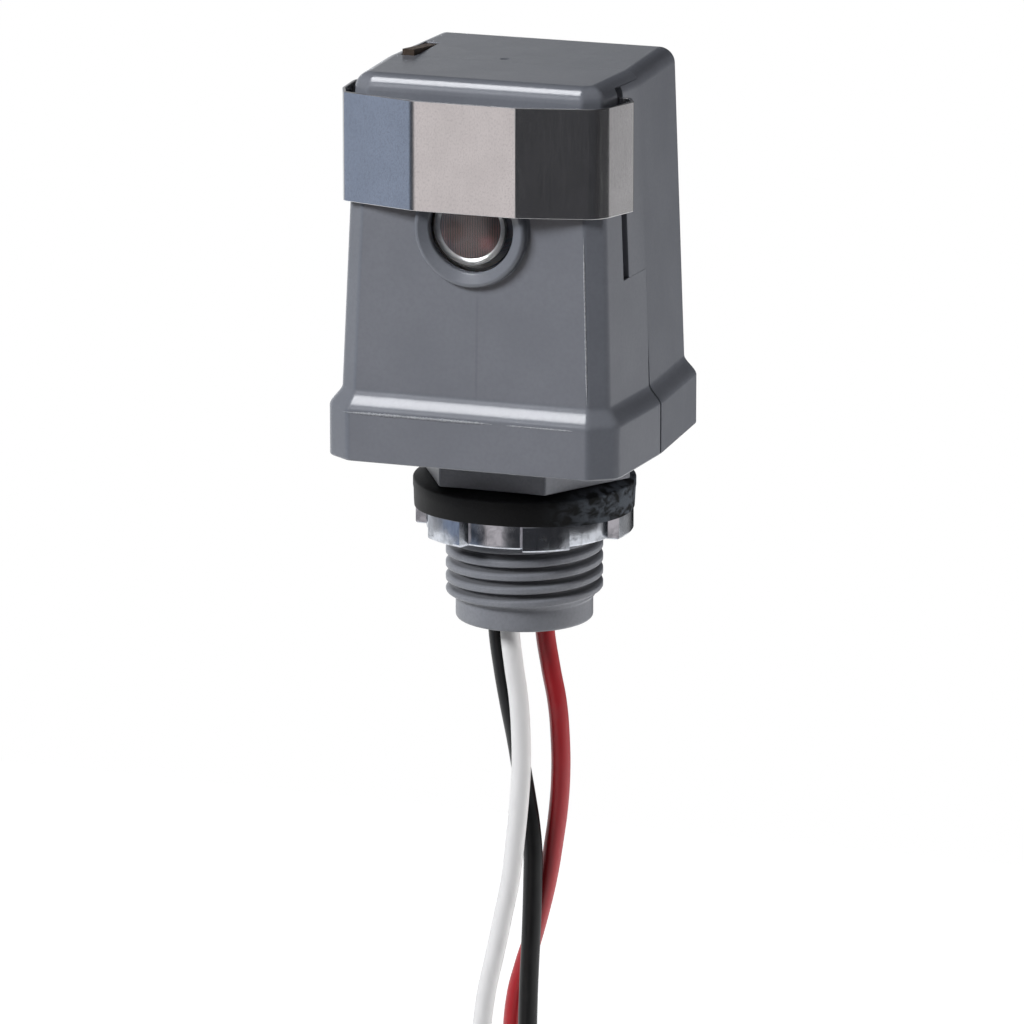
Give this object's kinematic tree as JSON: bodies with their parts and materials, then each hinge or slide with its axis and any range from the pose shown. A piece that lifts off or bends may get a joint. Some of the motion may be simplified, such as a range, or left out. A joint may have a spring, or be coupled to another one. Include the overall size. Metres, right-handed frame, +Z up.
{
  "type": "photocell switch",
  "caption": "Stem-mount dusk-to-dawn photocell switch: grey moulded housing with a lens, a sliding metal light shield, a threaded conduit stem with gasket and locknut, and hanging leads",
  "frame": {"origin": "on the stem's axis, at the underside of the locknut, where the free thread starts", "axes": "+Z up along the stem axis towards the housing's top, -Y out of the lens, +X to the right as seen from the front"},
  "size_m": [0.0416, 0.0381, 0.2372],
  "materials": {
    "housing_plastic": "mid grey moulding with a fine spark-eroded grain and satin edges",
    "stem_plastic": "mid grey moulding, smoother than the housing",
    "gasket_rubber": "dull black rubber",
    "zinc_steel": "zinc-plated steel with bright edges",
    "shield_sheet": "mill-finish sheet with fine upright grain",
    "clear_lens": "clear polished window",
    "cell_ceramic": "coated ceramic disc with a folded dark track",
    "tinned_wire": "tinned wire",
    "brown_board": "brown phenolic laminate",
    "resistor_body": "tan enamel",
    "bimetal": "rolled strip",
    "contact_metal": "silver contact",
    "brass_strip": "rolled brass",
    "plug_resin": "dull black sealing plug",
    "black_insulation": "black insulation with a soft sheen",
    "white_insulation": "white insulation with a soft sheen",
    "red_insulation": "dark red insulation with a soft sheen",
    "copper_strand": "stripped copper strands"
  },
  "bodies": {
    "housing": {"front_shell": "housing_plastic", "rear_cover": "housing_plastic", "stem_base": "stem_plastic", "lens": "clear_lens", "photocell": "cell_ceramic", "photocell_leads": "tinned_wire", "terminal_board": "brown_board", "heater_resistor": "resistor_body", "fixed_contact": "contact_metal", "contact_arm": "bimetal", "blade_bracket": "brass_strip", "contact_bracket": "brass_strip", "board_rivets": "brass_strip", "calibration_screw": "brass_strip", "lead_terminals": "brass_strip", "inner_leads": "black_insulation", "lead_plug": "plug_resin", "black_lead": "black_insulation", "white_lead": "white_insulation", "red_lead": "red_insulation", "stripped_tips": "copper_strand"},
    "shield": {"light_shield": "shield_sheet"},
    "seal": {"gasket": "gasket_rubber"},
    "nut": {"locknut": "zinc_steel"},
    "blade": {"bimetal_blade": "bimetal", "moving_contact": "contact_metal"}
  },
  "joints": [
    {"name": "shield_slide", "type": "slide", "parent": "housing", "child": "shield", "axis": [0, 0, 1], "range_m": [-0.009, 0.0008]},
    {"name": "nut_travel", "type": "slide", "parent": "housing", "child": "seal", "axis": [0, 0, 1], "range_m": [-0.007, 0]},
    {"name": "nut_turn", "type": "hinge", "parent": "seal", "child": "nut", "pos_m": [0, 0, 0], "axis": [0, 0, 1], "range_deg": [-1400, 0]},
    {"name": "blade_flex", "type": "hinge", "parent": "housing", "child": "blade", "pos_m": [-0.0073, 0.0018, 0.0268], "axis": [1, 0, 0], "range_deg": [0, 4], "stiffness_Nm_per_rad": 0.02}
  ],
  "couplings": [
    {"joint": "nut_turn", "follows": "nut_travel", "rad_per_m": 3463.2}
  ]
}
